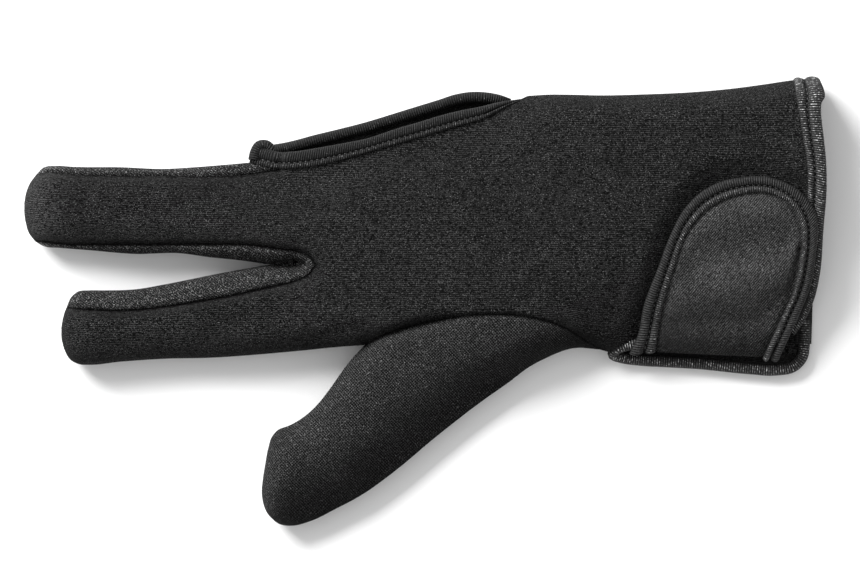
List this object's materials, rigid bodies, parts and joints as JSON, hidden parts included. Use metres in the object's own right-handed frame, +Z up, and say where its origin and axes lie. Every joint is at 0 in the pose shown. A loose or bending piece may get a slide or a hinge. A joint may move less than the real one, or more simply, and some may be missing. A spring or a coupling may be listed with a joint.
{
  "type": "heat resistant styling glove",
  "caption": "Black knit heat resistant glove covering thumb, index and middle finger, with a bound opening for the other fingers, a slit cuff and a closing tab, lying flat.",
  "frame": {"origin": "middle of the bounding box, on the surface that the glove lies on", "axes": "+X from the fingertips towards the cuff, +Y towards the ring finger's side, +Z up from the surface"},
  "size_m": [0.2404, 0.1348, 0.0234],
  "materials": {
    "body_knit": "fine black jersey knit, matt",
    "gusset_knit": "coarser black knit with a light fleck",
    "ribbed_binding": "ribbed elastic binding, soft sheen",
    "tab_cloth": "diagonal woven black cloth"
  },
  "bodies": {
    "root": {"back_panel": "body_knit", "palm_panel": "body_knit", "finger_gusset": "gusset_knit", "outer_gusset": "gusset_knit", "thumb": "body_knit", "opening_binding_back": "ribbed_binding", "opening_binding_palm": "ribbed_binding", "cuff_binding": "ribbed_binding", "slit_binding": "ribbed_binding", "strap": "tab_cloth", "strap_binding": "ribbed_binding"}
  },
  "joints": []
}
